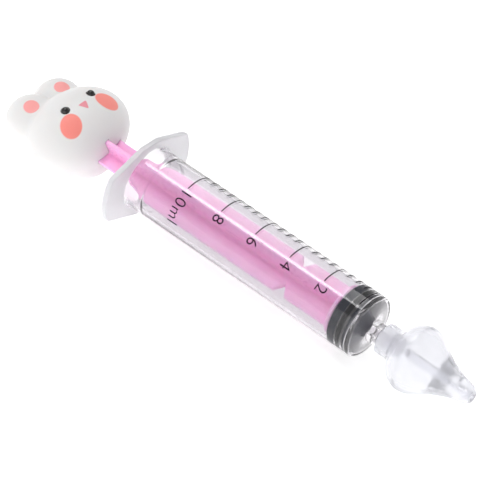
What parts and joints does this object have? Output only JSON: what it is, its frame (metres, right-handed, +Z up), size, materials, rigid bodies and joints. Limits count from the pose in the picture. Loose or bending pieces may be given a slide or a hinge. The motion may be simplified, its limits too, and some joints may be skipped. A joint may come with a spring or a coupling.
{
  "type": "oral syringe",
  "caption": "Small dosing syringe: clear barrel with finger flange, cross-ribbed plunger, rubber stopper, soft animal-head thumb piece and push-on nasal bulb tip.",
  "frame": {"origin": "middle of the overall length and width, on the surface the syringe lies on", "axes": "+X along the syringe towards the nozzle, +Y across the finger wings, +Z up, the way the head's face looks"},
  "size_m": [0.1476, 0.0314, 0.0216],
  "materials": {
    "clear_plastic": "clear, lightly frosted",
    "pink_plastic": "translucent, satin",
    "black_rubber": "satin",
    "white_vinyl": "soft, matte",
    "clear_silicone": "clear, glossy"
  },
  "bodies": {
    "barrel": {"barrel": "clear_plastic"},
    "stopper": {"plunger_stopper": "black_rubber"},
    "plunger": {"plunger_rod": "pink_plastic", "thumb_head": "white_vinyl"},
    "nasal_tip": {"nasal_tip": "clear_silicone"}
  },
  "joints": [
    {"name": "plunger_slide", "type": "slide", "parent": "barrel", "child": "stopper", "axis": [-1, 0, 0], "range_m": [0, 0.06]},
    {"name": "rod_turn", "type": "hinge", "parent": "stopper", "child": "plunger", "pos_m": [0, 0, 0.0108], "axis": [1, 0, 0], "continuous": true},
    {"name": "tip_pull_off", "type": "slide", "parent": "barrel", "child": "nasal_tip", "axis": [1, 0, 0], "range_m": [0, 0.012]}
  ]
}
